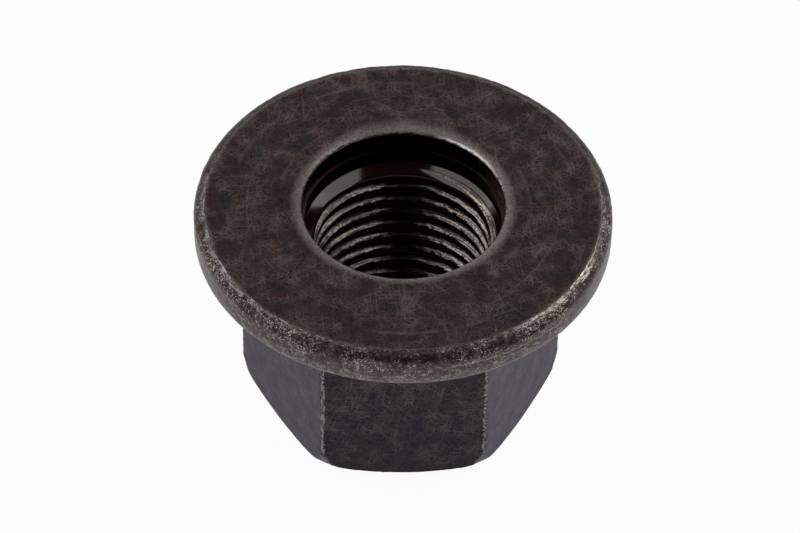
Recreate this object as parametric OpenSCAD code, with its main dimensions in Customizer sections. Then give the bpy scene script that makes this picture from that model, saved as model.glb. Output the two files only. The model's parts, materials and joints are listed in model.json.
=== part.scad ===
// Flanged wheel nut: one forged steel piece, stood on its hexagon end with the flange and its flat seat uppermost.
// The origin is the middle of the foot ring, +Z runs up the thread's axis, and one wrench flat faces -Y.
// Lengths are in millimetres and angles in degrees.

/* [Thread] */
// Nominal diameter of the thread
thread_d = 16; // [14:0.5:17]
// Pitch of the thread
thread_pitch = 1.5; // [1:0.25:2]
// How much wider the drilled bore is than the thread's basic minor diameter, which leaves broad crests
bore_allowance = 0.37; // [0:0.01:0.5]

/* [Hexagon] */
// Width across the wrench flats, a 24 mm hexagon less its usual allowance
hex_af = 23.85; // [22.5:0.05:26]
// Rounding along the six upright edges
hex_edge_r = 0.45; // [0.2:0.05:1]
// Step in from the wrench flats to the flat foot ring
foot_inset = 0.925; // [0.5:0.025:1.5]
// Slope of the end chamfer above the foot plane
crown_angle = 27; // [20:1:35]
// Radius that rolls the end chamfer up into the hexagon's corners
crown_r = 1.8; // [1:0.1:3]

/* [Flange] */
// Height of the whole nut, from foot to seat
nut_h = 21; // [18:0.1:26]
// Largest diameter of the flange
flange_d = 35.2; // [33:0.1:40]
// Thickness of the flange at its rim
rim_h = 3.28; // [2.9:0.02:5]
// Radius of the rim's upper shoulder, from the flat seat to the upright wall
rim_shoulder_r = 0.9; // [0.4:0.05:1.3]
// Radius of the rim's lower edge
rim_lower_r = 0.6; // [0.2:0.05:0.9]
// Slope of the flange's underside, falling towards the hexagon
underside_angle = 20; // [8:1:28]

/* [Recess] */
// Gap round the stud in the mouth of the recess
recess_clearance = 0.5; // [0.3:0.05:1]
// Depth of the recess below the seat, down to its conical floor
recess_depth = 3.2; // [2.4:0.1:5]
// Depth of the small step in the recess wall
step_depth = 1.77; // [0.8:0.01:2.2]
// Width of that step
step_w = 0.17; // [0.05:0.01:0.3]
// Rounding of the recess mouth
mouth_r = 0.25; // [0.1:0.05:0.5]
// Slope of the conical floor that leads into the thread
lead_angle = 45; // [30:1:60]

/* [Foot] */
// How far the countersink in the foot reaches past the thread's nominal radius
sink_margin = 0.4; // [0.2:0.05:0.8]
// Slope of that countersink
sink_angle = 45; // [30:1:60]

/* [Hidden] */
$fn = 96;
// Overrun of a cut past the face that it opens
over = 1;
// Room between the crown's largest radius and the hexagon's corners
crown_room = 0.02;

// Basic profile of the thread: the bore is drilled to the crests
thread_r = thread_d / 2;
thread_tri_h = thread_pitch * sqrt(3) / 2;
minor_r = thread_r - thread_tri_h * 5 / 8 + bore_allowance / 2;

// Hexagon, with the corner circles that round its upright edges
flat_r = hex_af / 2;
edge_centre_r = (flat_r - hex_edge_r) / cos(30);
corner_r = edge_centre_r + hex_edge_r;

// End crown: a shallow cone that an arc rolls up to the vertical just outside the corners
foot_r = flat_r - foot_inset;
crown_max_r = corner_r + crown_room;
crown_tangent = crown_r * tan((90 - crown_angle) / 2);
crown_z = (crown_max_r - foot_r) * tan(crown_angle) + crown_tangent;

// Flange rim: shoulder round, upright wall, lower round and conical underside
flange_r = flange_d / 2;
seat_r = flange_r - rim_shoulder_r;
shoulder_z = nut_h - rim_shoulder_r;
lower_c = [flange_r - rim_lower_r, nut_h - rim_h + rim_lower_r];
underside_p = lower_c + rim_lower_r * [sin(underside_angle), -cos(underside_angle)];
hex_root_r = flat_r * cos(30);
hex_root_z = underside_p.y - (underside_p.x - hex_root_r) * tan(underside_angle);
hex_top_z = nut_h - rim_h / 2;

// Recess, its lead-in cone and the countersink
recess_r = thread_r + recess_clearance;
step_r = recess_r - step_w;
step_z = nut_h - step_depth;
floor_z = nut_h - recess_depth;
thread_top_z = floor_z - (step_r - minor_r) * tan(lead_angle);
sink_r = thread_r + sink_margin;
sink_z = (sink_r - minor_r) * tan(sink_angle);

// Hexagon with rounded corners, a flat facing -Y
module hexagon_outline() {
    polygon([
        for (i = [0 : 5])
            for (side = [-30, 30])
                edge_centre_r * [cos(60 * i), sin(60 * i)]
                    + hex_edge_r * [cos(60 * i + side), sin(60 * i + side)]
    ]);
    for (i = [0 : 5])
        rotate(60 * i)
            translate([edge_centre_r, 0])
                circle(r = hex_edge_r);
}

// Half section of the crowned end: everything the hexagon may fill
module crown_section() {
    polygon([
        [0, 0],
        [foot_r, 0],
        [
            crown_max_r - crown_tangent * cos(crown_angle),
            crown_z - crown_tangent * (1 + sin(crown_angle))
        ],
        [crown_max_r, crown_z],
        [crown_max_r, nut_h],
        [0, nut_h]
    ]);
    translate([crown_max_r - crown_r, crown_z])
        intersection() {
            circle(r = crown_r);
            translate([0, -crown_r])
                square(crown_r);
        }
}

// Half section of the flange, with its bulged rim
module flange_section() {
    polygon([
        [0, nut_h],
        [seat_r, nut_h],
        [flange_r, shoulder_z],
        [flange_r, lower_c.y],
        underside_p,
        [hex_root_r, hex_root_z],
        [0, hex_root_z]
    ]);
    translate([seat_r, shoulder_z])
        circle(r = rim_shoulder_r);
    translate(lower_c)
        circle(r = rim_lower_r);
}

// Half section of the space inside: countersink, tapping bore, lead-in cone and stepped recess
module bore_section() {
    polygon([
        [0, -over],
        [sink_r + over / tan(sink_angle), -over],
        [minor_r, sink_z],
        [minor_r, thread_top_z],
        [step_r, floor_z],
        [step_r, step_z],
        [recess_r, step_z + step_w],
        [recess_r, nut_h + over],
        [0, nut_h + over]
    ]);
    translate([recess_r, nut_h - mouth_r])
        difference() {
            square([mouth_r, mouth_r + over]);
            translate([mouth_r, 0])
                circle(r = mouth_r);
        }
}

// The whole nut, black-oxidised
module wheel_nut() {
    color([0.15, 0.14, 0.13])
        difference() {
            union() {
                intersection() {
                    linear_extrude(height = hex_top_z)
                        hexagon_outline();
                    rotate_extrude()
                        crown_section();
                }
                rotate_extrude()
                    flange_section();
            }
            rotate_extrude()
                bore_section();
        }
}

wheel_nut();
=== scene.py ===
"""Looks of a flanged wheel nut: forged, turned and tapped steel, blackened and worn.

Shapes are modelled in millimetres about the nut's own axis, foot on the floor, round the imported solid,
and brought to metres at the end.
"""

import json
import logging
import math
from collections.abc import Callable, Mapping, Sequence
from dataclasses import dataclass
from enum import Enum
from itertools import pairwise
from typing import Any

import bpy
from mathutils import Matrix, Vector

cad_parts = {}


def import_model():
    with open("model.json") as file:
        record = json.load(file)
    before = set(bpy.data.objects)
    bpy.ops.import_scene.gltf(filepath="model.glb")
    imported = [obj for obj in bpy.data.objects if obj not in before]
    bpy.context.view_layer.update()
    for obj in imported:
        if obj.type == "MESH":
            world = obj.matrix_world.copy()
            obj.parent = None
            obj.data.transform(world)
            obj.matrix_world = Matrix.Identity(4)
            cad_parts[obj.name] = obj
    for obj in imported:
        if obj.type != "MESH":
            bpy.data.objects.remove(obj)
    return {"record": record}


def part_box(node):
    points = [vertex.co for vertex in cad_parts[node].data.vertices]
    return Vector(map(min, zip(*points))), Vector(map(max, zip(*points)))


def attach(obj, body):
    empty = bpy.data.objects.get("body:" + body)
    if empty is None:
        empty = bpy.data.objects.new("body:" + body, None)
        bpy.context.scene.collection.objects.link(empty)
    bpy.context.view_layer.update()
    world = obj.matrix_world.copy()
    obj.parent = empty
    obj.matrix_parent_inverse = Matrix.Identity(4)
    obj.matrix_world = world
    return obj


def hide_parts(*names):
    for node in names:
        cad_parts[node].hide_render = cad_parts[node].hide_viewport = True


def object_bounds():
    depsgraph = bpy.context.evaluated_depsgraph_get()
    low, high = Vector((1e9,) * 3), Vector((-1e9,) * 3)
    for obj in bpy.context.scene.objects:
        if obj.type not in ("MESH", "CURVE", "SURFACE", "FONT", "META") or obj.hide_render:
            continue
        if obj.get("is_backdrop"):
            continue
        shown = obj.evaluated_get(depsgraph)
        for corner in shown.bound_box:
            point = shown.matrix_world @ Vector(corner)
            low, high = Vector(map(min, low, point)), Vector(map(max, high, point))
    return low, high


LOG = logging.getLogger("wheel_nut")

Point = tuple[float, float]
Colour = tuple[float, float, float]

# A millimetre in metres
MM = 0.001
# Millimetres under which two points are one, and by which a tool runs past what it cuts
WELD = 1e-4
OVERRUN = 1.0
# Middle of a noise's range
MID = 0.5
# Half of the angle between two neighbouring flats, in radians
HALF_SIXTH = math.pi / 6.0


class Pick(Enum):
    """What an edit-mode selection is made of."""

    POINTS = "VERT"
    EDGES = "EDGE"
    FACES = "FACE"


class Join(Enum):
    """How a tool's solid meets the piece it is used on."""

    ADD = "UNION"
    CUT = "DIFFERENCE"
    KEEP = "INTERSECT"


@dataclass(frozen=True)
class Lumps:
    """Noise that a surface is pushed by: size and height of its lumps in millimetres."""

    grain: float
    height: float
    depth: int = 1


class Bench:
    """The modelling bench: the hand steps that every shape of the nut is made with."""

    @staticmethod
    def clear() -> None:
        """Leave edit mode and let go of everything."""
        if bpy.context.mode != "OBJECT":
            bpy.ops.object.mode_set(mode="OBJECT")
        bpy.ops.object.select_all(action="DESELECT")

    @staticmethod
    def hold(piece: bpy.types.Object) -> None:
        """Make one piece the only selected one, and the active one."""
        Bench.clear()
        piece.select_set(True)
        bpy.context.view_layer.objects.active = piece

    @staticmethod
    def edit(piece: bpy.types.Object, pick: Pick, test: Callable[..., bool] | None = None) -> None:
        """Open a piece in edit mode with some of it selected.

        Args:
            piece: The piece to open.
            pick: Whether points, edges or faces are selected.
            test: Takes a point's place, an edge's two ends or a face's middle and normal, and says
                whether it is selected. With none, everything is.
        """
        Bench.hold(piece)
        mesh = piece.data
        for parts in (mesh.vertices, mesh.edges, mesh.polygons):
            parts.foreach_set("select", [False] * len(parts))
        if test is not None and pick is Pick.POINTS:
            mesh.vertices.foreach_set("select", [test(v.co) for v in mesh.vertices])
        if test is not None and pick is Pick.EDGES:
            ends = [[mesh.vertices[i].co for i in edge.vertices] for edge in mesh.edges]
            mesh.edges.foreach_set("select", [test(*pair) for pair in ends])
        if test is not None and pick is Pick.FACES:
            mesh.polygons.foreach_set("select", [test(f.center, f.normal) for f in mesh.polygons])
        bpy.context.tool_settings.mesh_select_mode = [pick is kind for kind in Pick]
        bpy.ops.object.mode_set(mode="EDIT")
        if test is None:
            bpy.ops.mesh.select_all(action="SELECT")

    @staticmethod
    def trace(name: str, section: Sequence[Point]) -> bpy.types.Object:
        """Draw a half section in the plane of X and Z, one extruded point after another.

        Args:
            name: Name of the new piece.
            section: Radius and height of each point in turn.

        Returns:
            The traced outline, open in edit mode.
        """
        Bench.clear()
        radius, height = section[0]
        bpy.ops.mesh.primitive_plane_add(size=OVERRUN, location=(radius, 0.0, height))
        outline = bpy.context.object
        outline.name = name
        bpy.ops.object.transform_apply()
        Bench.edit(outline, Pick.POINTS)
        bpy.ops.mesh.merge(type="CENTER")
        for start, stop in pairwise(section):
            step = (stop[0] - start[0], 0.0, stop[1] - start[1])
            bpy.ops.mesh.extrude_region_move(TRANSFORM_OT_translate={"value": step})
        bpy.ops.mesh.select_all(action="SELECT")
        bpy.ops.mesh.remove_doubles(threshold=WELD)
        return outline

    @staticmethod
    def turn(name: str, section: Sequence[Point], steps: int) -> bpy.types.Object:
        """Turn a half section into a solid of revolution about Z.

        Args:
            name: Name of the new piece.
            section: Radius and height of each point, ending on the axis or where it began.
            steps: Faces round the axis.

        Returns:
            The closed solid, with its faces outwards.
        """
        solid = Bench.trace(name, section)
        bpy.ops.mesh.spin(steps=steps, angle=math.tau, center=(0.0, 0.0, 0.0), axis=(0.0, 0.0, 1.0))
        Bench.close(solid)
        return solid

    @staticmethod
    def close(solid: bpy.types.Object) -> None:
        """Merge a solid's doubled points and turn its faces outwards."""
        Bench.edit(solid, Pick.POINTS)
        bpy.ops.mesh.remove_doubles(threshold=WELD)
        bpy.ops.mesh.normals_make_consistent(inside=False)
        Bench.hold(solid)

    @staticmethod
    def weigh(piece: bpy.types.Object, name: str, weight: Callable[[Vector], float]) -> None:
        """Give a piece a vertex group.

        Args:
            piece: The piece.
            name: Name of the group.
            weight: Takes a point's place and gives its weight.
        """
        group = piece.vertex_groups.new(name=name)
        for point in piece.data.vertices:
            group.add([point.index], weight(point.co), "REPLACE")

    @staticmethod
    def roughen(piece: bpy.types.Object, group: str, lumps: Lumps) -> None:
        """Push a piece's surface in and out by noise, as forging or chipping leaves it.

        Args:
            piece: The piece.
            group: Vertex group that says where.
            lumps: Their size, height and depth of detail.
        """
        noise = bpy.data.textures.new(f"{piece.name}_{group}", "CLOUDS")
        noise.noise_scale = lumps.grain
        noise.noise_depth = lumps.depth
        Bench.hold(piece)
        push = piece.modifiers.new(group, "DISPLACE")
        push.texture = noise
        push.texture_coords = "LOCAL"
        push.vertex_group = group
        push.strength = lumps.height
        bpy.ops.object.modifier_apply(modifier=push.name)

    @staticmethod
    def join(piece: bpy.types.Object, tool: bpy.types.Object, how: Join) -> None:
        """Add a tool's solid to a piece, cut it away or keep what both fill. Cuts take its finish.

        Args:
            piece: The piece that is changed.
            tool: The solid that is used up.
            how: What is done with it.
        """
        Bench.hold(piece)
        step = piece.modifiers.new(tool.name, "BOOLEAN")
        step.operation = how.value
        step.solver = "EXACT"
        step.material_mode = "TRANSFER"
        step.object = tool
        bpy.ops.object.modifier_apply(modifier=step.name)
        bpy.data.objects.remove(tool)


def arc(centre: Point, radius: float, start: float, stop: float, steps: int) -> list[Point]:
    """Points along an arc of a half section.

    Args:
        centre: Radius and height of the arc's centre.
        radius: The arc's own radius.
        start: Angle of the first point, in degrees above the outward direction.
        stop: Angle of the last point.
        steps: Straight pieces that the arc is made of.

    Returns:
        The points, both ends among them.
    """
    angles = [math.radians(start + (stop - start) * i / steps) for i in range(steps + 1)]
    return [(centre[0] + radius * math.cos(a), centre[1] + radius * math.sin(a)) for a in angles]


def line(start: Point, stop: Point, steps: int) -> list[Point]:
    """Evenly spaced points along a line, both ends among them."""
    shares = [i / steps for i in range(steps + 1)]
    return [tuple(a + (b - a) * t for a, b in zip(start, stop)) for t in shares]


def fade(value: float, low: float, high: float) -> float:
    """Share of the way from low to high, held between 0 and 1."""
    return min(1.0, max(0.0, (value - low) / (high - low)))


class Signal:
    """A node's output, so that shader sums are written as Python expressions."""

    def __init__(self, sheet: "NodeSheet", socket: bpy.types.NodeSocket) -> None:
        """Wrap one output socket of a sheet."""
        self.sheet = sheet
        self.socket = socket

    def __add__(self, other: "Signal | float") -> "Signal":
        """Sum of two values."""
        return self.sheet.sum("ADD", self, other)

    def __sub__(self, other: "Signal | float") -> "Signal":
        """Difference of two values."""
        return self.sheet.sum("SUBTRACT", self, other)

    def __rsub__(self, other: float) -> "Signal":
        """Difference from a plain number."""
        return self.sheet.sum("SUBTRACT", other, self)

    def __mul__(self, other: "Signal | float") -> "Signal":
        """Product of two values."""
        return self.sheet.sum("MULTIPLY", self, other)

    def __truediv__(self, other: "Signal | float") -> "Signal":
        """Quotient of two values."""
        return self.sheet.sum("DIVIDE", self, other)

    def __rtruediv__(self, other: float) -> "Signal":
        """Quotient of a plain number."""
        return self.sheet.sum("DIVIDE", other, self)

    def __pow__(self, other: "Signal | float") -> "Signal":
        """Power of a value."""
        return self.sheet.sum("POWER", self, other)

    def __abs__(self) -> "Signal":
        """Size of a value without its sign."""
        return self.sheet.sum("ABSOLUTE", self)

    __radd__ = __add__
    __rmul__ = __mul__


class NodeSheet:
    """A node tree that is written as Python."""

    def __init__(self, tree: bpy.types.NodeTree) -> None:
        """Work on one node tree."""
        self.nodes = tree.nodes
        self.links = tree.links

    def node(self, kind: str, settings: Mapping[str, Any], inputs: Mapping[str | int, Any],
             output: str | int = 0) -> Signal:
        """Add a node.

        Args:
            kind: The node's type.
            settings: Its own settings, which are set first.
            inputs: Values or links of its sockets.
            output: The output that is wanted.

        Returns:
            That output.
        """
        node = self.nodes.new(kind)
        for name, value in settings.items():
            setattr(node, name, value)
        self.wire(node, inputs)
        return Signal(self, node.outputs[output])

    def wire(self, node: bpy.types.Node, inputs: Mapping[str | int, Any]) -> None:
        """Set or link a node's sockets.

        Args:
            node: The node.
            inputs: Values or links of its sockets.
        """
        for name, value in inputs.items():
            socket = node.inputs[name]
            if isinstance(value, Signal):
                self.links.new(value.socket, socket)
            elif isinstance(value, tuple) and socket.type == "RGBA":
                socket.default_value = (*value, 1.0)
            else:
                socket.default_value = value

    def sum(self, operation: str, *terms: Signal | float) -> Signal:
        """Math node on up to three values."""
        return self.node("ShaderNodeMath", {"operation": operation}, dict(enumerate(terms)))

    def vector(self, operation: str, first: Signal, others: Mapping[str | int, Any]) -> Signal:
        """Vector Math node on a place and what it is combined with."""
        return self.node("ShaderNodeVectorMath", {"operation": operation}, {0: first, **others})

    def axes(self, place: Signal) -> list[Signal]:
        """The three parts of a place."""
        return [self.node("ShaderNodeSeparateXYZ", {}, {"Vector": place}, axis) for axis in "XYZ"]

    def join(self, x: Signal | float, y: Signal | float, z: Signal | float) -> Signal:
        """Place made of three values."""
        return self.node("ShaderNodeCombineXYZ", {}, {"X": x, "Y": y, "Z": z})

    def blend(self, share: Signal | float, under: Signal | Colour, over: Signal | Colour) -> Signal:
        """Colour that goes from one to another as a share goes from 0 to 1."""
        inputs = {"Factor": share, 6: under, 7: over}
        return self.node("ShaderNodeMix", {"data_type": "RGBA"}, inputs, 2)

    def rise(self, value: Signal, low: float, high: float) -> Signal:
        """Smooth rise from 0 at one value to 1 at another, which may be the lower."""
        ends = {"Value": value, "From Min": low, "From Max": high}
        return self.node("ShaderNodeMapRange", {"interpolation_type": "SMOOTHSTEP"}, ends)


@dataclass(frozen=True)
class Scratching:
    """One set of fine scratches: directions, sizes in millimetres, share of bare ground and pattern."""

    directions: int
    length: float
    width: float
    share: float
    seed: float
    fade: float = 0.09
    bend: float = 0.2
    bend_size: float = 1.6
    turn: float = 0.382


class FinishTree(NodeSheet):
    """Node tree of one finish, with places over the nut in millimetres."""

    def __init__(self, name: str) -> None:
        """Start a material and lay out the places that its patterns follow."""
        self.material = bpy.data.materials.new(name)
        self.material.use_nodes = True
        super().__init__(self.material.node_tree)
        metres = self.node("ShaderNodeTexCoord", {}, {}, "Object")
        self.place = self.vector("SCALE", metres, {"Scale": 1.0 / MM})
        self.x, self.y, self.z = self.axes(self.place)
        self.r = self.sum("SQRT", self.x * self.x + self.y * self.y)

    def noise(self, size: float, seed: float, detail: float = 2.0,
              place: Signal | None = None) -> Signal:
        """Soft noise.

        Args:
            size: Size of its patches in millimetres.
            seed: Picks one noise among many.
            detail: How many finer noises are laid over the first.
            place: Where it is read, if not at the plain place.

        Returns:
            The noise, mostly between 0.3 and 0.7.
        """
        spot = self.vector("ADD", place or self.place, {1: (seed * 31.7, seed * 17.3, seed * 5.9)})
        inputs = {"Vector": spot, "Scale": 1.0 / size, "Detail": detail}
        return self.node("ShaderNodeTexNoise", {}, inputs)

    def strokes(self, run: Signal, side: Signal, layer: Signal | float, kind: Scratching) -> Signal:
        """Fine scratches that cross in many directions.

        Args:
            run: Place along the surface in millimetres.
            side: Place across it.
            layer: Tells one surface's scratches from another's.
            kind: How many there are, and how long and wide.

        Returns:
            One on a scratch, else zero.
        """
        bend = self.noise(kind.bend_size, kind.seed, 1.0) * kind.bend
        masks = []
        for i in range(kind.directions):
            angle = math.pi * i * kind.turn
            forward = run * math.cos(angle) + side * math.sin(angle)
            across = side * math.cos(angle) - run * math.sin(angle) + bend
            stretched = self.join(forward / kind.length, across / kind.width, layer)
            streak = self.noise(1.0, kind.seed + i, 0.0, stretched)
            masks.append(self.rise(streak, kind.share, kind.share + kind.fade))
        return self.most(*masks)

    def most(self, *masks: Signal) -> Signal:
        """The largest of some masks."""
        top = masks[0]
        for mask in masks[1:]:
            top = self.sum("MAXIMUM", top, mask)
        return top

    def finish(self, colour: Signal, rough: Signal | float, height: Signal, relief: float,
               metal: Signal | float, sheen: Colour = (1.0, 1.0, 1.0),
               ior: float = 1.5) -> bpy.types.Material:
        """Close the tree with its shader.

        Args:
            colour: Base colour.
            rough: Roughness.
            height: Height of the fine relief, in millimetres.
            relief: Strength of the relief.
            metal: How metallic the surface is.
            sheen: Tint of what is reflected at shallow angles.
            ior: How strongly the parts that aren't metal reflect.

        Returns:
            The material.
        """
        bump = self.node("ShaderNodeBump", {}, {"Height": height, "Strength": relief, "Distance": MM})
        inputs = {
            "Base Color": colour, "Roughness": rough, "Metallic": metal, "Normal": bump,
            "Specular Tint": sheen, "IOR": ior}
        self.wire(self.nodes["Principled BSDF"], inputs)
        return self.material


@dataclass(frozen=True)
class SeatFinish:
    """Turned seat: brown-black oxide under crossed scratches, rubbed pale at its outer edge and round the
    mouth, where a painted sheen and a painted highlight lie over the rubbing.
    """

    mouth_r: float
    edge_r: float
    brown: Colour = (0.0270, 0.0160, 0.0150)
    blue: Colour = (0.0198, 0.0158, 0.0188)
    red: Colour = (0.0365, 0.0138, 0.0130)
    smoke: Colour = (0.056, 0.042, 0.0385)
    hair: Colour = (0.20, 0.152, 0.134)
    # Rubbed oxide, which round the mouth also carries a painted sheen.
    rubbed_and_sheen: Colour = (0.44, 0.385, 0.350)
    # Painted highlight on the mouth's edge.
    bright: Colour = (0.92, 0.87, 0.80)
    scuff_r: float = 12.6
    scuff_w: float = 3.0
    halo_w: float = 0.95
    halo_side: float = 0.3
    halo_back: float = 1.2
    halo_level: float = 0.36
    brink_w: float = 0.37
    edge_w: float = 0.25
    wool: Scratching = Scratching(13, 1.5, 0.085, 0.665, 11.0)
    drags: Scratching = Scratching(5, 6.0, 0.085, 0.68, 41.0)

    def material(self) -> bpy.types.Material:
        """Mix the finish.

        Returns:
            The material.
        """
        tree = FinishTree("blackened_seat")
        colour = tree.blend(tree.rise(tree.noise(2.6, 1.0, 4.0), 0.40, 0.62), self.brown, self.blue)
        colour = tree.blend(tree.rise(tree.noise(1.3, 5.0, 3.0), 0.48, 0.66) * 0.8, colour, self.red)
        ring = tree.rise(abs(tree.r - self.scuff_r), self.scuff_w, 0.2)
        cloud = tree.rise(tree.noise(2.2, 2.0, 5.0) + ring * 0.07, 0.42, 0.70)
        grain = tree.rise(tree.noise(0.11, 6.0, 2.0), 0.34, 0.66)
        colour = tree.blend(cloud * 0.12 + grain * (0.04 + cloud * 0.26), colour, self.smoke)
        wool = tree.strokes(tree.x, tree.y, 0.0, self.wool)
        patch = tree.rise(tree.noise(1.8, 12.0, 6.0) + ring * 0.04, 0.42, 0.72)
        colour = tree.blend(wool * (0.12 + patch * 0.52), colour, self.hair)
        drags = tree.strokes(tree.x, tree.y, 3.0, self.drags)
        dragged = drags * tree.rise(tree.noise(3.5, 10.0), 0.45, 0.60)
        colour = tree.blend(dragged * 0.4, colour, self.hair)
        turned = tree.noise(0.3, 7.0, 1.0, tree.join(tree.r, 0.0, 0.0))
        arcs = tree.rise(turned, 0.56, 0.68) * tree.rise(tree.noise(4.5, 8.0), 0.48, 0.62)
        colour = tree.blend(arcs * (0.15 + grain * 0.2), colour, self.hair)
        colour = self.rub_and_sheen(tree, colour, grain)
        rough = 0.34 + tree.noise(1.2, 3.0, 4.0) * 0.24
        height = tree.noise(0.12, 4.0, 2.0) * 0.006 - wool * 0.003
        return tree.finish(colour, rough, height, 0.6, 1.0)

    def rub_and_sheen(self, tree: FinishTree, colour: Signal, grain: Signal) -> Signal:
        """Rub the oxide off round the mouth, most at the back, and along the outer edge, and paint light
        on the mouth's ring: a sheen, brighter at the back sides and to the right, and a highlight on its
        edge at the back right.

        Args:
            tree: The finish's node tree.
            colour: Colour before the rubbing.
            grain: Fine grain that the rubbing follows.

        Returns:
            Colour after it.
        """
        worn = tree.noise(0.35, 9.0, 4.0)
        back = tree.rise(tree.y, 2.0, self.mouth_r + 1.0)
        side = tree.rise(abs(tree.x), 2.0, self.mouth_r)
        out = tree.r + (worn - MID) * 0.4 - self.mouth_r
        middle = back * (1.0 - side)
        # Pale ring round the mouth: rubbed oxide under a painted sheen, reaching furthest at the back and
        # dimmed at the back middle next to the edge.
        reach = self.halo_w + side * self.halo_side + middle * self.halo_back
        halo = tree.rise(out / reach, 1.0, 0.15)
        halo = halo * (1.0 - middle * tree.rise(out, 0.5, 0.1) * 0.6)
        # Painted sheen: the ring is painted lighter at the back sides and towards the right, where the
        # lamps light it.
        near = side * back * tree.rise(out, 0.7, 0.3)
        level = self.halo_level + near * 0.75 + side * back * 0.15
        level = level + tree.rise(tree.x, 4.0, self.mouth_r) * 0.1
        colour = tree.blend(halo * level * (0.55 + grain * 0.9), colour, self.rubbed_and_sheen)
        # Painted highlight: a bright line on the mouth's edge, at the back right only.
        brink = tree.rise(tree.r + (worn - MID) * 0.16 - self.mouth_r, self.brink_w, self.brink_w - 0.08)
        gleam = brink * tree.rise(tree.x, 2.5, 5.0) * tree.rise(tree.y, 3.0, 6.0)
        colour = tree.blend(gleam * (0.6 + worn * 0.8), colour, self.bright)
        edge = tree.rise(tree.r + worn * 0.25, self.edge_r - self.edge_w, self.edge_r + 0.1)
        return tree.blend(edge * worn * 0.3, colour, self.rubbed_and_sheen)


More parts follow.
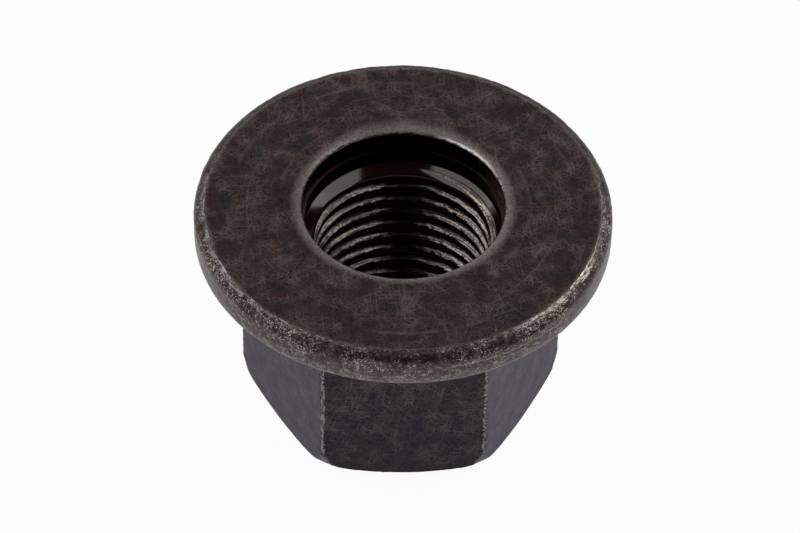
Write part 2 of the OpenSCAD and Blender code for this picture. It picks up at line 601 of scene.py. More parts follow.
@dataclass(frozen=True)
class RimFinish:
    """Forged rim: worn bead under painted highlights, torn dark shoulder with flecks, drawn brown wall
    with a painted sheen at the far left and right, a smoother rubbed lower band painted lighter as a
    reflection of the floor, and a painted glint along the lower edge.
    """

    height: float
    thickness: float
    radius: float
    skin: Colour = (0.050, 0.034, 0.0315)
    pale_skin: Colour = (0.096, 0.075, 0.070)
    pit: Colour = (0.023, 0.0148, 0.0132)
    fleck: Colour = (0.56, 0.51, 0.46)
    # Worn bead at the seat's edge, with a painted highlight on it.
    worn_bead_highlight: Colour = (0.26, 0.222, 0.198)
    # Painted warm highlight on the bead at the front right.
    gold_highlight: Colour = (0.62, 0.56, 0.48)
    wall: Colour = (0.072, 0.056, 0.0545)
    # Smoother, rubbed lower band, painted lighter as a reflection of the floor.
    rubbed_and_sheen: Colour = (0.172, 0.152, 0.153)
    # Painted glint on the bead at the left and along the lower edge.
    glint: Colour = (0.34, 0.33, 0.36)
    # Painted blue-grey sheen on the wall at the far left and right.
    side_sheen: Colour = (0.150, 0.142, 0.152)
    bead_w: float = 0.13
    parting_z: float = 1.45
    parting_w: float = 0.13

    def material(self) -> bpy.types.Material:
        """Mix the finish.

        Returns:
            The material.
        """
        tree = FinishTree("forged_rim")
        below = self.height - tree.z
        front = tree.most(tree.rise(tree.y, 7.0, -1.0), tree.rise(below, 0.45, 0.85))
        # Front right, where the bead's painted highlight turns gold and widens a little.
        gold_highlight_zone = tree.rise(tree.x, 8.0, 11.5) * tree.rise(tree.y, -4.0, -7.5)
        grain = tree.noise(0.12, 1.0, 2.0)
        grit = tree.noise(0.30, 7.0, 2.0)
        lump = tree.noise(0.8, 2.0, 4.0)
        field = tree.noise(2.6, 5.0, 2.0)
        drawn = tree.noise(0.22, 6.0, 3.0, tree.join(tree.x * 0.35, tree.y * 0.35, tree.z))
        # Painted reflection: the wall is lightened over its lower part, a smoother rubbed band that shows
        # the floor.
        low = tree.rise(below + (lump - MID) * 1.4, self.thickness * 0.5, self.thickness * 0.84)
        wall = tree.blend(low * (0.25 + drawn * 1.1), self.wall, self.rubbed_and_sheen)
        wall = tree.blend(tree.rise(drawn + (lump - MID) * 0.3, 0.58, 0.72) * 0.45, wall, self.fleck)
        smooth = tree.rise(below + (lump - MID) * 1.4, 0.65, 1.35)
        colour = tree.blend(tree.rise(lump, 0.38, 0.64), self.skin, self.pale_skin)
        colour = tree.blend(smooth * 0.85, colour, wall)
        crevice = tree.most(tree.rise(grain, 0.50, 0.36), tree.rise(grit, 0.46, 0.36))
        colour = tree.blend(crevice * (0.70 - smooth * 0.25) * (0.3 + front * 0.7), colour, self.pit)
        torn = grain + (grit - MID) * 0.5 + (lump - MID) * 0.2 + (field - MID) * 0.35
        flecks = tree.rise(torn, 0.58, 0.74) * (0.85 - smooth * 0.25) * (0.10 + front * 0.90)
        colour = tree.blend(flecks, colour, self.fleck)
        colour = tree.blend((1.0 - front) * 0.6, colour, self.skin)
        # Painted sheen: streaky blue-grey on the lower wall at the far left and right.
        side_sheen = tree.rise(abs(tree.x), 13.0, 16.5) * tree.rise(below, 0.25, 0.9)
        side_sheen_streaks = tree.rise(drawn * 0.6 + grain * 0.4, 0.36, 0.60) * 0.55
        colour = tree.blend(side_sheen * side_sheen_streaks, colour, self.side_sheen)
        parting = abs(below - self.parting_z + (lump - MID) * 0.9)
        parting = tree.rise(parting, self.parting_w, self.parting_w - 0.10)
        parting = parting * tree.rise(tree.x, 1.0, 5.0) * tree.rise(tree.x, 15.0, 11.0)
        colour = tree.blend(parting * front * grain * 0.4, colour, self.fleck)
        # Worn bead at the seat's edge under painted highlights: brighter at the front and towards the
        # sides, a glint at the left, gold at the front right.
        wave = tree.noise(1.1, 4.0, 2.0)
        left = tree.rise(tree.x, -10.0, -14.0)
        ragged = (wave - MID) * 0.34 + (grain - MID) * 0.3
        worn_bead_highlight = tree.rise(below - gold_highlight_zone * 0.03 + ragged, self.bead_w, self.bead_w - 0.08)
        worn_bead_highlight = worn_bead_highlight * (0.25 + front * 0.75)
        worn_bead_highlight = worn_bead_highlight * (0.35 + tree.rise(abs(tree.x), 1.5, 8.0) * 0.65)
        pale = tree.blend(gold_highlight_zone, tree.blend(left, self.worn_bead_highlight, self.glint), self.gold_highlight)
        edgewise = tree.join(tree.x * 0.3, tree.y * 0.3, tree.r - tree.z)
        edgewise = tree.noise(0.15, 8.0, 3.0, edgewise)
        streak = tree.rise(edgewise * 0.75 + grain * 0.25, 0.42, 0.60)
        colour = tree.blend(worn_bead_highlight * (wave * 0.25 + streak * 0.95), colour, pale)
        # Painted glint along the lower edge.
        edge = tree.rise(below, self.thickness - 0.30, self.thickness - 0.15)
        colour = tree.blend(edge * (0.3 + grain * 0.8), colour, self.glint)
        under = tree.rise(tree.r, self.radius - 0.4, self.radius - 0.9) * tree.rise(below, 2.0, 2.5)
        scale = tree.blend(tree.rise(lump, 0.40, 0.62), self.pit, self.skin)
        colour = tree.blend(under * (1.0 - grain * 0.3), colour, scale)
        rough = 0.34 + grain * 0.22 - worn_bead_highlight * 0.08
        height = grain * 0.04 + grit * 0.03 + lump * 0.03
        height = height * (1.0 - smooth * 0.4) * (1.0 - worn_bead_highlight * 0.5)
        return tree.finish(colour, rough, height, 0.7, 1.0)


@dataclass(frozen=True)
class FlatFinish:
    """Wrench flats: smooth blue-black oxide with a web of brown scratches and thin chipped edges."""

    flat_r: float
    foot_r: float
    crown_slope: float
    navy: Colour = (0.0108, 0.0106, 0.0178)
    brown: Colour = (0.0135, 0.0122, 0.0155)
    burnt: Colour = (0.0200, 0.0130, 0.0150)
    hair: Colour = (0.100, 0.079, 0.066)
    bare: Colour = (0.25, 0.225, 0.205)
    sheen: Colour = (0.925, 0.906, 0.978)
    edge_w: float = 0.19
    burnt_h: float = 0.45
    wool: Scratching = Scratching(11, 1.9, 0.085, 0.655, 21.0)

    def material(self) -> bpy.types.Material:
        """Mix the finish.

        Returns:
            The material.
        """
        tree = FinishTree("blackened_flats")
        sixth = HALF_SIXTH * 2.0
        turn = tree.sum("ARCTAN2", tree.y, tree.x)
        side = tree.sum("FLOOR", turn / sixth)
        along = tree.r * tree.sum("SINE", turn - (side + 0.5) * sixth)
        colour = tree.blend(tree.rise(tree.noise(2.0, 1.0, 4.0), 0.42, 0.62), self.navy, self.brown)
        grain = tree.rise(tree.noise(0.10, 6.0, 2.0), 0.42, 0.66)
        cloud = tree.rise(tree.noise(1.3, 2.0, 4.0), 0.42, 0.66)
        wool = tree.strokes(along, tree.z, side * 3.7, self.wool)
        # Painted shade: the scratches fade towards the foot, so the flats are darker low down, as the
        # floor's shade falls there.
        shade_toward_foot = tree.rise(tree.z, 0.0, 10.0) * 0.45 + 0.55
        colour = tree.blend((wool * (0.30 + cloud * 0.40) + grain * 0.05) * shade_toward_foot, colour, self.hair)
        corner = self.flat_r * math.tan(HALF_SIXTH)
        chips = tree.noise(0.24, 5.0, 2.0)
        wander = tree.noise(0.5, 7.0, 1.0)
        bare_from = corner - self.edge_w
        edge = tree.rise(abs(along) + (wander - MID) * 0.35, bare_from, bare_from + 0.06)
        worn = tree.blend(tree.rise(chips, 0.40, 0.56), self.navy, self.bare)
        colour = tree.blend(edge * 0.85, colour, worn)
        above_crown = tree.z - (tree.r - self.foot_r) * math.tan(math.radians(self.crown_slope))
        colour = tree.blend(tree.rise(above_crown, self.burnt_h, 0.15) * 0.8, colour, self.burnt)
        rough = 0.34 + tree.noise(1.4, 3.0, 4.0) * 0.2
        height = tree.noise(0.16, 4.0, 3.0) * 0.006 - wool * 0.003
        return tree.finish(colour, rough, height, 0.6, 1.0, self.sheen)


@dataclass(frozen=True)
class CrownFinish:
    """Rolled crown and foot: rubbed grey, pitted and scratched."""

    grey: Colour = (0.026, 0.0255, 0.030)
    pale: Colour = (0.085, 0.081, 0.083)
    pit: Colour = (0.018, 0.017, 0.017)
    chip: Colour = (0.42, 0.40, 0.39)

    def material(self) -> bpy.types.Material:
        """Mix the finish.

        Returns:
            The material.
        """
        tree = FinishTree("rubbed_crown")
        grain = tree.noise(0.18, 1.0, 3.0)
        colour = tree.blend(tree.rise(tree.noise(0.7, 2.0, 3.0), 0.42, 0.64), self.grey, self.pale)
        colour = tree.blend(tree.rise(grain, 0.48, 0.36) * 0.75, colour, self.pit)
        colour = tree.blend(tree.rise(grain, 0.58, 0.70) * 0.7, colour, self.chip)
        return tree.finish(colour, 0.36 + grain * 0.2, grain * 0.03, 0.6, 1.0)


@dataclass(frozen=True)
class BoreFinish:
    """Inside: oily red-black recess, cone and crests, and a rubbed mouth lip with a painted highlight at
    the back right.
    """

    height: float
    step_z: float
    floor_z: float
    crest_r: float
    wall: Colour = (0.0060, 0.0030, 0.0024)
    step: Colour = (0.075, 0.050, 0.040)
    crest: Colour = (0.0200, 0.0100, 0.0070)
    crest_run: Colour = (0.110, 0.060, 0.040)
    cone: Colour = (0.0120, 0.0014, 0.0008)
    rust: Colour = (0.120, 0.048, 0.026)
    lip: Colour = (0.045, 0.032, 0.027)
    # Painted highlight on the mouth's lip.
    bright: Colour = (0.80, 0.75, 0.69)
    lip_drop: float = 0.12
    oil_ior: float = 1.70
    oil_tint: Colour = (1.0, 0.93, 0.86)

    def material(self) -> bpy.types.Material:
        """Mix the finish.

        Returns:
            The material.
        """
        tree = FinishTree("oily_bore")
        cloud = tree.noise(0.8, 1.0, 3.0)
        below = self.height - tree.z
        inner = tree.rise(tree.z, self.floor_z + 0.03, self.floor_z - 0.03)
        on_cone = inner * tree.rise(tree.r, self.crest_r + 0.02, self.crest_r + 0.10)
        along = tree.noise(0.6, 5.0, 3.0, tree.join(tree.x * 0.2, tree.y * 0.2, tree.z * 5.0))
        crest = tree.blend(tree.rise(along, 0.46, 0.66), self.crest, self.crest_run)
        colour = tree.blend(inner, self.wall, crest)
        colour = tree.blend(tree.rise(abs(tree.z - self.step_z), 0.04, 0.02) * 0.6, colour, self.step)
        colour = tree.blend(on_cone, colour, self.cone)
        # Painted highlight on the lip, at the back right only.
        right = tree.rise(tree.x, 3.0, 5.5) * tree.rise(tree.y, 0.5, 3.0)
        runs = tree.noise(0.35, 4.0, 3.0, tree.join(tree.x, tree.y, tree.z * 0.25))
        runs = tree.rise(runs, 0.50, 0.70) * tree.rise(tree.x, 6.4, 8.0)
        colour = tree.blend(runs * (1.0 - inner) * 0.8, colour, self.rust)
        worn = tree.noise(0.3, 2.0, 3.0)
        lip = tree.rise(below + (worn - MID) * 0.12, self.lip_drop + 0.03, self.lip_drop - 0.03)
        shine = right * tree.rise(worn, 0.34, 0.56) * tree.rise(below, 0.07, 0.04)
        colour = tree.blend(lip, colour, tree.blend(shine, self.lip, self.bright))
        rough = 0.16 + cloud * 0.08 + lip * 0.14 - on_cone * 0.09
        return tree.finish(colour, rough, cloud * 0.01, 0.3, 1.0 - on_cone, self.oil_tint, self.oil_ior)


@dataclass(frozen=True)
class ThreadFinish:
    """Tapped thread: flanks torn into pale streaks along the turns, with painted shade darkening the
    roots and the left side.
    """

    root_r: float
    dark: Colour = (0.050, 0.041, 0.035)
    torn: Colour = (0.38, 0.335, 0.295)

    def material(self) -> bpy.types.Material:
        """Mix the finish.

        Returns:
            The material.
        """
        tree = FinishTree("torn_thread")
        along = tree.join(tree.x * 0.2, tree.y * 0.2, tree.z * 5.0 + tree.r * 3.5)
        streak = tree.noise(0.6, 1.0, 3.0, along)
        speck = tree.noise(0.22, 2.0, 2.0)
        # Way out from the thread's root, for the painted shade in the roots.
        depth = tree.rise(tree.r, self.root_r - 0.02, self.root_r - 0.22)
        fine = tree.noise(0.12, 3.0, 1.0)
        pale = tree.rise(streak + (speck - MID) * 0.5 + (fine - MID) * 0.4, 0.38, 0.70)
        # Painted shade: the streaks are dimmed towards the roots and on the left side.
        pale = pale * (0.25 + depth * 0.75) * (1.0 - tree.rise(tree.x, 1.0, -6.0) * 0.42)
        colour = tree.blend(pale, self.dark, self.torn)
        return tree.finish(colour, 0.12 + streak * 0.14, streak * 0.02 + speck * 0.01, 0.5, 1.0)


@dataclass
class Flange:
    """The flange: a forged, rounded rim under a flat turned seat with a rolled mouth."""

    height: float
    radius: float
    mouth_r: float
    rim_h: float = 3.28
    shoulder_r: float = 0.9
    seat_drop: float = 0.05
    lower_r: float = 0.6
    underside: float = 20.0
    core_r: float = 5.0
    root_r: float = 10.3
    blank_h: float = 0.3
    blank_in: float = 0.36
    crease_in: float = 0.04
    lip_w: float = 1.0
    lip_drop: float = 0.05
    lip_curve: float = 2.2
    lip_cuts: int = 9
    steps: int = 720
    tool_steps: int = 240
    forged: Lumps = Lumps(1.4, 0.08)
    pitted: Lumps = Lumps(0.38, 0.06)

    @property
    def seat_r(self) -> float:
        """Radius of the seat's outer edge."""
        return self.radius - self.shoulder_r

    def rim(self) -> list[Point]:
        """Outline of the forged rim, from above the seat down to the underside.

        Returns:
            Radius and height of each point.
        """
        shoulder = (self.seat_r, self.height - self.seat_drop - self.shoulder_r)
        lower = (self.radius - self.lower_r, self.height - self.rim_h + self.lower_r)
        start = (self.seat_r - self.blank_in, self.height + self.blank_h)
        blank = line(start, (self.seat_r - self.crease_in, self.height), 4)
        turn_down = arc(shoulder, self.shoulder_r, 82.0, 0.0, 13)
        wall = line((self.radius, shoulder[1]), (self.radius, lower[1]), 13)
        edge = arc(lower, self.lower_r, 0.0, self.underside - 90.0, 8)
        return blank + turn_down + wall[1:] + edge[1:]

    def build(self, skin: bpy.types.Material, seat: bpy.types.Material) -> bpy.types.Object:
        """Forge the flange and face its seat.

        Args:
            skin: Finish of the forged rim.
            seat: Finish of the turned seat.

        Returns:
            The flange as a ring, open in the middle.
        """
        rim = self.rim()
        under_r, under_z = rim[-1]
        root_z = under_z - (under_r - self.root_r) * math.tan(math.radians(self.underside))
        inner = [(self.core_r, root_z), (self.core_r, rim[0][1])]
        section = [inner[1], *rim, (self.root_r, root_z), *inner]
        flange = Bench.turn("flange", section, self.steps)
        flange.data.materials.append(skin)
        crease_z = self.height - self.shoulder_r

        def torn(p: Vector) -> float:
            """Weight of the forging's lumps, strongest on the shoulder."""
            reach = fade(math.hypot(p.x, p.y), under_r - 1.2, under_r - 0.6)
            return reach * (0.4 + 0.6 * fade(p.z, crease_z - 0.35, crease_z))

        Bench.weigh(flange, "lumps", torn)
        Bench.roughen(flange, "lumps", self.forged)
        Bench.roughen(flange, "lumps", self.pitted)
        Bench.join(flange, self.facing_tool(seat), Join.CUT)
        return flange

    def facing_tool(self, seat: bpy.types.Material) -> bpy.types.Object:
        """Solid that the seat and its rolled mouth are faced off with.

        Args:
            seat: Finish that the tool leaves.

        Returns:
            The tool.
        """
        outer, top = self.radius + OVERRUN, self.height + OVERRUN
        shares = [i / self.lip_cuts for i in range(self.lip_cuts + 1)]
        drops = [self.lip_drop * (1.0 - t) ** self.lip_curve for t in shares]
        lip = [(self.mouth_r + self.lip_w * t, self.height - drop) for t, drop in zip(shares, drops)]
        face = line(lip[-1], (self.seat_r - 0.3, self.height), 8)
        section = [(0.0, lip[0][1]), *lip, *face[1:], (outer, self.height), (outer, top), (0.0, top)]
        tool = Bench.turn("facing_tool", section, self.tool_steps)
        tool.data.materials.append(seat)
        return tool


@dataclass
class Hexagon:
    """The wrench end: six flats with chipped edges, cut off by a rolled crown."""

    top_z: float
    flat_r: float = 11.925
    edge_r: float = 0.45
    foot_r: float = 11.0
    crown_slope: float = 27.0
    crown_r: float = 1.8
    crown_room: float = 0.02
    worn_slope: float = 50.0
    worn_z: float = 2.72
    worked_z: float = 14.6
    columns: int = 20
    rings: int = 54
    crown_steps: int = 360
    worn_past: float = 1.5
    waves: Lumps = Lumps(3.5, 0.04)
    chips: Lumps = Lumps(0.45, 0.10)
    scuffs: Lumps = Lumps(0.6, 0.07)

    @property
    def corner_r(self) -> float:
        """Radius to the rounded upright edges."""
        return (self.flat_r - self.edge_r) / math.cos(HALF_SIXTH) + self.edge_r

    def build(self, skin: bpy.types.Material, crown: bpy.types.Material) -> bpy.types.Object:
        """Model the hexagon and cut its crown.

        Args:
            skin: Finish of the flats.
            crown: Finish of the crown and the foot.

        Returns:
            The hexagon, closed.
        """
        Bench.clear()
        bpy.ops.mesh.primitive_cylinder_add(
            vertices=6, radius=self.flat_r / math.cos(HALF_SIXTH), depth=self.worked_z,
            end_fill_type="NOTHING", location=(0.0, 0.0, self.worked_z / 2.0),
            rotation=(0.0, 0.0, HALF_SIXTH))
        hexagon = bpy.context.object
        hexagon.name = "hexagon"
        bpy.ops.object.transform_apply()
        Bench.edit(hexagon, Pick.EDGES, lambda a, b: abs(a.z - b.z) > OVERRUN)
        bpy.ops.mesh.bevel(offset=self.edge_r * math.tan(HALF_SIXTH), segments=5, affect="EDGES")
        wide = self.flat_r / 2
        Bench.edit(hexagon, Pick.EDGES, lambda a, b: abs(a.z - b.z) < WELD and (a - b).length > wide)
        bpy.ops.mesh.subdivide(number_cuts=self.columns)
        Bench.edit(hexagon, Pick.EDGES, lambda a, b: abs(a.z - b.z) > OVERRUN)
        bpy.ops.mesh.subdivide(number_cuts=self.rings)
        Bench.edit(hexagon, Pick.EDGES, lambda a, b: min(a.z, b.z) > self.worked_z - WELD)
        rise = (0.0, 0.0, self.top_z - self.worked_z)
        bpy.ops.mesh.extrude_region_move(TRANSFORM_OT_translate={"value": rise})
        bpy.ops.mesh.select_all(action="SELECT")
        bpy.ops.mesh.fill_holes(sides=0)
        Bench.close(hexagon)
        hexagon.data.materials.append(skin)
        Bench.weigh(hexagon, "waves", lambda p: 1.0 if WELD < p.z < self.top_z - WELD else 0.0)
        Bench.roughen(hexagon, "waves", self.waves)

        def edge(p: Vector) -> float:
            """Weight of the chips along the upright edges."""
            near = fade(math.hypot(p.x, p.y), self.corner_r - 0.3, self.corner_r - 0.1)
            return near if WELD < p.z < self.worked_z + WELD else 0.0

        Bench.weigh(hexagon, "chips", edge)
        Bench.roughen(hexagon, "chips", self.chips)
        Bench.join(hexagon, self.crown_tool(crown), Join.KEEP)
        return hexagon

    def crown_tool(self, crown: bpy.types.Material) -> bpy.types.Object:
        """Solid that holds all of the hexagon except what the crown takes off.

        Args:
            crown: Finish that the tool leaves.

        Returns:
            The tool.
        """
        slope = math.radians(self.crown_slope)
        outer = self.corner_r + self.crown_room
        tangent = self.crown_r * math.tan((math.pi / 2 - slope) / 2)
        crown_z = (outer - self.foot_r) * math.tan(slope) + tangent
        centre = (outer - self.crown_r, crown_z)
        roll = arc(centre, self.crown_r, self.crown_slope - 90.0, self.worn_slope - 90.0, 6)
        cone = line((self.foot_r, 0.0), roll[0], 5)
        worn_at = (self.corner_r, self.worn_z)
        worn_end = tuple(a + (b - a) * self.worn_past for a, b in zip(roll[-1], worn_at))
        worn = line(roll[-1], worn_end, 9)
        wall = (worn_end[0] + 0.4, worn_end[1] + 0.2)
        top = self.top_z + OVERRUN
        foot = [(0.0, 0.0), (self.foot_r - 0.2, 0.0), (self.foot_r - 0.05, 0.0)]
        section = [*foot, *cone, *roll[1:], *worn[1:], wall, (wall[0], top), (0.0, top)]
        tool = Bench.turn("crown_tool", section, self.crown_steps)
        tool.data.materials.append(crown)
        Bench.weigh(tool, "scuffs", lambda p: fade(p.z, 0.0, 0.3) * fade(p.z, top, wall[1]))
        Bench.roughen(tool, "scuffs", self.scuffs)
        return tool


@dataclass
class Bore:
    """The inside: recess with a rolled lip, small step, lead-in cone, tapping bore and countersink."""

    height: float
    minor_r: float
    recess_r: float
    recess_depth: float = 3.2
    step_depth: float = 1.77
    step_w: float = 0.17
    step_rise: float = 0.02
    sink_r: float = 8.4
    lip_drop: float = 0.05
    corner_r: float = 0.22
    corner_rise: float = 0.03
    roll_r: float = 0.9
    lead: float = 45.0
    steps: int = 360
    notches: Lumps = Lumps(0.4, 0.10)

    @property
    def step_z(self) -> float:
        """Height of the small step in the recess's wall."""
        return self.height - self.step_depth

    @property
    def floor_z(self) -> float:
        """Height of the recess's floor, where the cone begins."""
        return self.height - self.recess_depth

    @property
    def thread_top(self) -> float:
        """Height of the cone's lower end, where the thread begins."""
        return self.floor_z - (self.recess_r - self.step_w - self.minor_r)

    def tool(self, wall: bpy.types.Material) -> bpy.types.Object:
        """Solid that fills the inside.

        Args:
            wall: Finish that the tool leaves.

        Returns:
            The tool.
        """
        step_r = self.recess_r - self.step_w
        sink_z = self.sink_r - self.minor_r
        corner_z = self.height - self.lip_drop - self.corner_r + self.corner_rise
        corner = (self.recess_r + self.corner_r, corner_z)
        mouth = arc(corner, self.corner_r, 180.0, 92.0, 6)
        low = self.thread_top - self.roll_r * math.tan(math.radians(self.lead / 2.0))
        roll = arc((self.minor_r + self.roll_r, low), self.roll_r, 180.0, 180.0 - self.lead, 6)
        top = self.height + OVERRUN
        section = [
            (0.0, -OVERRUN), (self.sink_r + OVERRUN, -OVERRUN), (self.minor_r, sink_z),
            *roll, (step_r, self.floor_z), (step_r, self.step_z),
            (self.recess_r, self.step_z + self.step_rise), *mouth, (mouth[-1][0], top), (0.0, top)]
        tool = Bench.turn("bore_tool", section, self.steps)
        tool.data.materials.append(wall)

        def notched(p: Vector) -> float:
            """Weight of the notches round the mouth, most at the back."""
            return fade(p.z, corner[1] - 0.2, corner[1]) * (0.3 + 0.7 * fade(p.y, -2.0, 4.0))

        Bench.weigh(tool, "notches", notched)
        Bench.roughen(tool, "notches", self.notches)
        return tool


@dataclass
class Thread:
    """The tapped thread: one torn groove that winds up the bore, right-handed."""

    minor_r: float
    major_r: float = 8.0
    pitch: float = 1.5
    flank: float = 30.0
    start_z: float = -2.26
    turns: int = 14
    steps: int = 240
    root_share: float = 1.0 / 16.0
    reach_in: float = 0.2
    flank_cuts: int = 4
    tears: Lumps = Lumps(0.6, 0.04)

    def tap(self, flank: bpy.types.Material) -> bpy.types.Object:
        """Solid of the winding groove.

        Args:
            flank: Finish that the tap leaves.

        Returns:
            The tap.
        """
        root = self.pitch * self.root_share
        mouth = root + (self.major_r - self.minor_r) * math.tan(math.radians(self.flank))
        inner = self.minor_r - self.reach_in
        low = line((self.minor_r, -mouth), (self.major_r, -root), self.flank_cuts)
        high = line((self.major_r, root), (self.minor_r, mouth), self.flank_cuts)
        groove = [(inner, -mouth), *low, *high, (inner, mouth), (inner, -mouth)]
        tap = Bench.trace("tap", [(r, z + self.start_z) for r, z in groove])
        Bench.hold(tap)
        coil = tap.modifiers.new("coil", "SCREW")
        coil.axis = "Z"
        coil.angle = math.tau
        coil.screw_offset = self.pitch
        coil.iterations = self.turns
        coil.steps = self.steps
        coil.render_steps = self.steps
        bpy.ops.object.modifier_apply(modifier=coil.name)
        Bench.edit(tap, Pick.POINTS)
        bpy.ops.mesh.fill_holes(sides=0)
        Bench.close(tap)
        tap.data.materials.append(flank)
        Bench.weigh(tap, "tears", lambda p: 1.0)
        Bench.roughen(tap, "tears", self.tears)
        return tap


@dataclass
class WheelNut:
    """The whole nut, made in the order of the real work: forged, faced, bored and tapped."""

    height: float
    flange_r: float
    minor_r: float
    recess_r: float
    sharp: float = 35.0

    def build(self) -> bpy.types.Object:
        """Make the nut as one closed piece in metres.

        Returns:
            The finished piece.
        """
        flange = Flange(self.height, self.flange_r, self.recess_r)
        hexagon = Hexagon(self.height - flange.rim_h / 2.0)
        bore = Bore(self.height, self.minor_r, self.recess_r, lip_drop=flange.lip_drop)
        thread = Thread(self.minor_r)
        flats = FlatFinish(hexagon.flat_r, hexagon.foot_r, hexagon.crown_slope)
        nut = hexagon.build(flats.material(), CrownFinish().material())
        LOG.info("hexagon cut: %d faces", len(nut.data.polygons))
        seat = SeatFinish(self.recess_r, flange.seat_r)
        skin = RimFinish(self.height, flange.rim_h, self.flange_r)
        rim = flange.build(skin.material(), seat.material())
        LOG.info("flange forged and faced: %d faces", len(rim.data.polygons))
        Bench.join(nut, rim, Join.ADD)
        inside = BoreFinish(self.height, bore.step_z, bore.floor_z, self.minor_r)
        Bench.join(nut, bore.tool(inside.material()), Join.CUT)
        LOG.info("bore turned: %d faces", len(nut.data.polygons))
        Bench.join(nut, thread.tap(ThreadFinish(thread.major_r).material()), Join.CUT)
        LOG.info("thread tapped: %d faces", len(nut.data.polygons))
        nut.name = "nut_forging"
        Bench.hold(nut)
        nut.scale = (MM, MM, MM)
        bpy.ops.object.transform_apply()
        bpy.ops.object.shade_smooth_by_angle(angle=math.radians(self.sharp))
        return nut


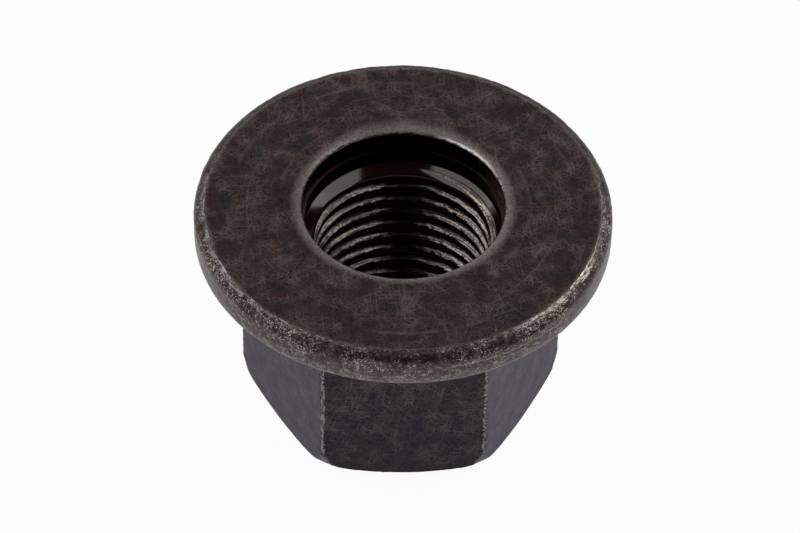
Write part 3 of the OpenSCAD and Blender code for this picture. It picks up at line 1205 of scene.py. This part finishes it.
@dataclass
class Studio:
    """White floor, two tall soft lamps at the sides and the photograph's camera."""

    seat_z: float
    elevation: float = 45.21
    azimuth: float = -2.016
    distance: float = 0.3304
    aim_right: float = -0.00018
    aim_drop: float = 0.00753
    roll: float = 1.158
    lens: float = 177.2
    floor_glow: float = 0.95
    foot_r: float = 8.6
    sky_top: float = 0.004
    sky_near: float = 0.01
    sky_low: float = 0.20
    sky_pale: float = 0.80
    panel_away: float = 0.45
    panel_size: Point = (0.52, 0.50)
    panel_power: float = 0.98
    floor_size: float = 4.0

    def camera(self) -> None:
        """Stand the camera where the photograph was taken from."""
        tilt, swing, roll = (math.radians(a) for a in (self.elevation, self.azimuth, self.roll))
        side = Vector((math.cos(swing), math.sin(swing), 0.0))
        level_back = Vector((math.sin(swing), -math.cos(swing), 0.0))
        back = level_back * math.cos(tilt) + Vector((0.0, 0.0, math.sin(tilt)))
        middle = Vector((0.0, 0.0, self.seat_z))
        place = middle + back * self.distance
        aim = middle + side * self.aim_right - Vector((0.0, 0.0, self.aim_drop))
        away = (place - aim).normalized()
        level = Vector((0.0, 0.0, 1.0)).cross(away).normalized()
        upright = away.cross(level)
        right = level * math.cos(roll) + upright * math.sin(roll)
        above = upright * math.cos(roll) - level * math.sin(roll)
        turned = Matrix((right, above, away)).transposed().to_4x4()
        bpy.ops.object.camera_add()
        camera = bpy.context.object
        camera.name = "camera"
        camera.matrix_world = Matrix.Translation(place) @ turned
        camera.data.lens = self.lens
        camera.data.clip_start = 0.01
        bpy.context.scene.camera = camera

    def lamp(self, name: str, bearing: float, lift: float) -> None:
        """Hang one soft lamp that faces the nut.

        Args:
            name: Name of the lamp.
            bearing: Degrees round from the camera's side, to the right.
            lift: Degrees above the floor.
        """
        turn, tilt = math.radians(bearing), math.radians(lift)
        level = Vector((math.sin(turn), -math.cos(turn), 0.0)) * math.cos(tilt)
        place = self.panel_away * (level + Vector((0.0, 0.0, math.sin(tilt))))
        bpy.ops.object.light_add(type="AREA", location=place)
        lamp = bpy.context.object
        lamp.name = name
        lamp.rotation_euler = place.to_track_quat("Z", "Y").to_euler()
        lamp.data.shape = "RECTANGLE"
        lamp.data.size, lamp.data.size_y = self.panel_size
        lamp.data.energy = self.panel_power

    def floor(self) -> None:
        """Lay the white floor, which stays white where the camera sees it and keeps the nut's shadow."""
        Bench.clear()
        bpy.ops.mesh.primitive_plane_add(size=self.floor_size)
        floor = bpy.context.object
        floor.name = "floor"
        paint = FinishTree("white_floor")
        grain = paint.noise(40.0, 9.0)
        colour = paint.blend(grain, (0.92, 0.92, 0.92), (0.95, 0.95, 0.95))
        floor.data.materials.append(paint.finish(colour, 0.9, grain, 0.0, 0.0))
        rays = ("Is Camera Ray", "Is Glossy Ray", "Is Transmission Ray")
        seen = paint.most(*[paint.node("ShaderNodeLightPath", {}, {}, ray) for ray in rays])
        lit = Signal(paint, paint.nodes["Principled BSDF"].outputs["BSDF"])
        white = paint.node("ShaderNodeEmission", {}, {"Color": (1.0, 1.0, 1.0), "Strength": 1.0})
        seen = seen * paint.rise(paint.r, self.foot_r, self.foot_r + 2.0)
        both = paint.node("ShaderNodeMixShader", {}, {0: seen * self.floor_glow, 1: lit, 2: white})
        paint.wire(paint.nodes["Material Output"], {"Surface": both})
        floor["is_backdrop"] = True

    def sky(self) -> None:
        """Surround the nut: pale behind it, dim above it and towards the camera."""
        world = bpy.data.worlds.new("studio")
        world.use_nodes = True
        sheet = NodeSheet(world.node_tree)
        _, depth, height = sheet.axes(sheet.node("ShaderNodeTexCoord", {}, {}, "Generated"))
        behind = sheet.rise(depth, -0.15, 0.65) * (1.0 - sheet.rise(height, 0.62, 0.92) * 0.9)
        level = self.sky_top + sheet.rise(height, 0.93, 0.70) * self.sky_near + behind * self.sky_pale
        level = level + sheet.rise(height, 0.50, 0.30) * (1.0 - behind) * self.sky_low
        sheet.wire(sheet.nodes["Background"], {"Color": (1.0, 1.0, 1.0), "Strength": level})
        bpy.context.scene.world = world

    def build(self) -> None:
        """Lay the floor, hang the lamps and set the camera."""
        self.floor()
        self.lamp("panel_right", 91.0, 44.0)
        self.lamp("panel_left", -80.0, 43.0)
        self.sky()
        bpy.context.scene.view_settings.view_transform = "Standard"
        self.camera()


def main() -> None:
    """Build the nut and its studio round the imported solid."""
    logging.basicConfig(level=logging.INFO, format="%(name)s: %(message)s")
    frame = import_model()
    cad_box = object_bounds()
    low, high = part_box("wheel_nut")
    radii = {mount["name"]: mount["dims"].get("r_mm") for mount in frame["record"]["mounts"]}
    nut = WheelNut(height=(high.z - low.z) / MM, flange_r=(high.x - low.x) / 2.0 / MM,
                   minor_r=radii["stud_thread"], recess_r=radii["recess"])
    piece = nut.build()
    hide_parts("wheel_nut")
    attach(piece, "root")
    LOG.info("%s ready", piece.name)
    Studio(seat_z=high.z).build()
    boxes = {"cad": cad_box, "visual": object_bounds()}
    boxes = {name: [list(corner) for corner in box] for name, box in boxes.items()}


if __name__ == "__main__":
    main()
